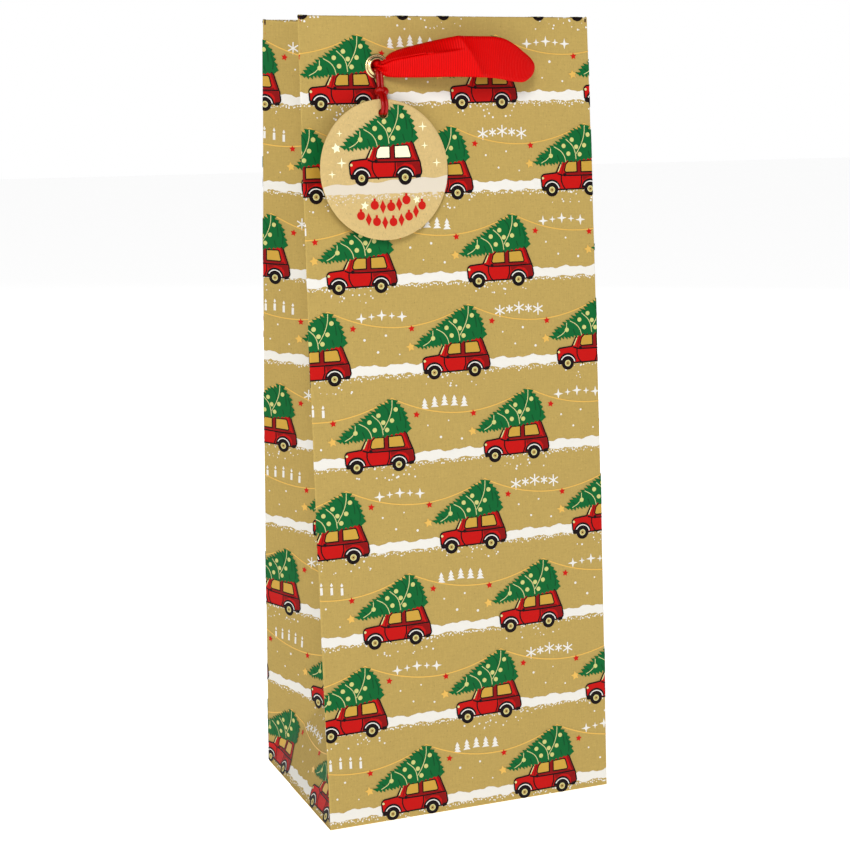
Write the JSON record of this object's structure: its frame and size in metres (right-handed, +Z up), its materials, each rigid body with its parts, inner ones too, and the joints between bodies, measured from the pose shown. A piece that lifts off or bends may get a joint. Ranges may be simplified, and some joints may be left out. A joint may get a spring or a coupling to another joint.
{
  "type": "bottle gift bag",
  "caption": "Upright folded kraft-paper bag for one bottle, with pinched mouth, folded-in gussets, ribbon handles through eyelets and a round tag on a cord.",
  "frame": {"origin": "middle of the base, on the surface the bag stands on", "axes": "+Z up along the bag's height, front panel towards -Y, +X to the right as seen from the front"},
  "size_m": [0.127, 0.0896, 0.3294],
  "materials": {
    "printed_kraft": "matte",
    "kraft_inside": "matte",
    "grey_board": "matte",
    "pale_brass": "polished",
    "red_grosgrain": "satin",
    "red_satin_cord": "satin",
    "tag_card": "matte"
  },
  "bodies": {
    "bag": {"front_panel": "printed_kraft", "back_panel": "printed_kraft", "left_gusset_front": "printed_kraft", "left_gusset_back": "printed_kraft", "left_gusset_foot": "printed_kraft", "right_gusset_front": "printed_kraft", "right_gusset_back": "printed_kraft", "right_gusset_foot": "printed_kraft", "side_seam_tab": "kraft_inside", "base_outer_flap": "printed_kraft", "base_inner_flap": "printed_kraft", "base_left_flap": "kraft_inside", "base_right_flap": "kraft_inside", "base_board": "grey_board", "front_hem": "kraft_inside", "back_hem": "kraft_inside", "left_front_gusset_hem": "kraft_inside", "left_back_gusset_hem": "kraft_inside", "right_front_gusset_hem": "kraft_inside", "right_back_gusset_hem": "kraft_inside", "front_top_board": "grey_board", "back_top_board": "grey_board", "front_left_eyelet": "pale_brass", "front_right_eyelet": "pale_brass", "back_left_eyelet": "pale_brass", "back_right_eyelet": "pale_brass", "front_left_knot": "red_grosgrain", "front_right_knot": "red_grosgrain", "back_left_knot": "red_grosgrain", "back_right_knot": "red_grosgrain", "tag_cord_tail": "red_satin_cord"},
    "front_handle": {"front_handle": "red_grosgrain"},
    "back_handle": {"back_handle": "red_grosgrain"},
    "tag_string": {"tag_cord": "red_satin_cord", "tag_cord_knot": "red_satin_cord"},
    "tag": {"gift_tag": "tag_card", "tag_cord_loop": "red_satin_cord"}
  },
  "joints": [
    {"name": "front_handle_swing", "type": "hinge", "parent": "bag", "child": "front_handle", "pos_m": [0, -0.02744, 0.30954], "axis": [-1, 0, 0], "range_deg": [-20, 40]},
    {"name": "back_handle_swing", "type": "hinge", "parent": "bag", "child": "back_handle", "pos_m": [0, 0.02744, 0.30954], "axis": [1, 0, 0], "range_deg": [-40, 40]},
    {"name": "tag_swing", "type": "hinge", "parent": "bag", "child": "tag_string", "pos_m": [-0.031, -0.02524, 0.3094], "axis": [0, -0.9981, 0.0621], "range_deg": [-45, 15]},
    {"name": "tag_lift", "type": "hinge", "parent": "tag_string", "child": "tag", "pos_m": [-0.031, -0.02939, 0.29904], "axis": [-1, 0, 0], "range_deg": [0, 60]}
  ]
}
